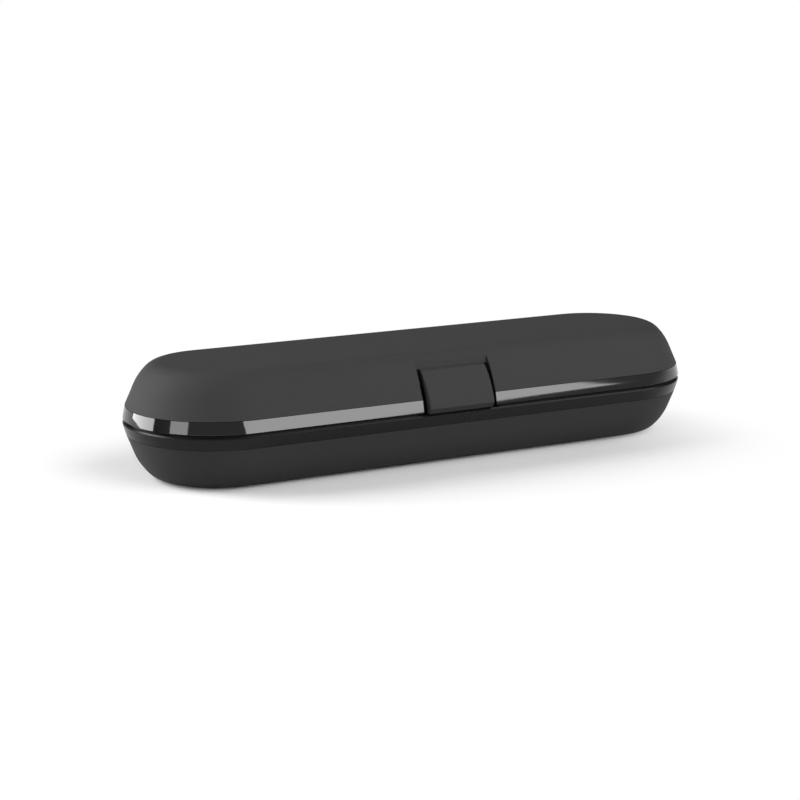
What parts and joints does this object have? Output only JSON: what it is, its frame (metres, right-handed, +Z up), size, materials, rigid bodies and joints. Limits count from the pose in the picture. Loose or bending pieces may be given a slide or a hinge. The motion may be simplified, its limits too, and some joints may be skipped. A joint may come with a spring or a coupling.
{
  "type": "electric toothbrush travel case",
  "caption": "Slim clamshell travel case with rounded ends, rear hinges, a front latch button and an inner tray for a toothbrush handle and brush heads.",
  "frame": {"origin": "centre of the flat underside", "axes": "+Z up, +X along the case, -Y the front with the latch, +Y the rear with the hinges"},
  "size_m": [0.215, 0.0684, 0.039],
  "materials": {
    "lid_shell": "fine matt texture, near-black",
    "gloss_band": "polished black",
    "base_shell": "fine matt texture, near-black",
    "base_band": "satin black",
    "button": "fine matt texture, near-black",
    "tray": "satin moulded, dark grey",
    "liner": "satin moulded, dark grey",
    "soft_insert": "soft matt elastomer",
    "pin_steel": "drawn stainless wire",
    "spring_steel": "bright spring steel",
    "screw_steel": "zinc-plated"
  },
  "bodies": {
    "base": {"base_cover": "base_shell", "base_rim_band": "base_band", "base_tray": "tray", "base_tray_screws": "screw_steel", "catch_plate": "spring_steel", "catch_screws": "screw_steel", "handle_cushion_left": "soft_insert", "handle_cushion_right": "soft_insert", "brush_head_cradle_left": "soft_insert", "brush_head_cradle_right": "soft_insert", "hinge_pin_left": "pin_steel", "hinge_pin_right": "pin_steel"},
    "lid": {"lid_cover": "lid_shell", "lid_gloss_band": "gloss_band", "lid_liner": "liner", "lid_liner_screws": "screw_steel", "lid_pad_left": "soft_insert", "lid_pad_right": "soft_insert", "latch_pin": "pin_steel", "latch_spring": "spring_steel"},
    "latch": {"latch_button": "button"}
  },
  "joints": [
    {"name": "lid_hinge", "type": "hinge", "parent": "base", "child": "lid", "pos_m": [0, 0.0329, 0.0195], "axis": [-1, 0, 0], "range_deg": [0, 180]},
    {"name": "latch_press", "type": "hinge", "parent": "lid", "child": "latch", "pos_m": [0, -0.0262, 0.0295], "axis": [-1, 0, 0], "range_deg": [0, 6], "stiffness_Nm_per_rad": 0.05, "springref_deg": -5.73, "deforming": ["latch_spring"]}
  ]
}
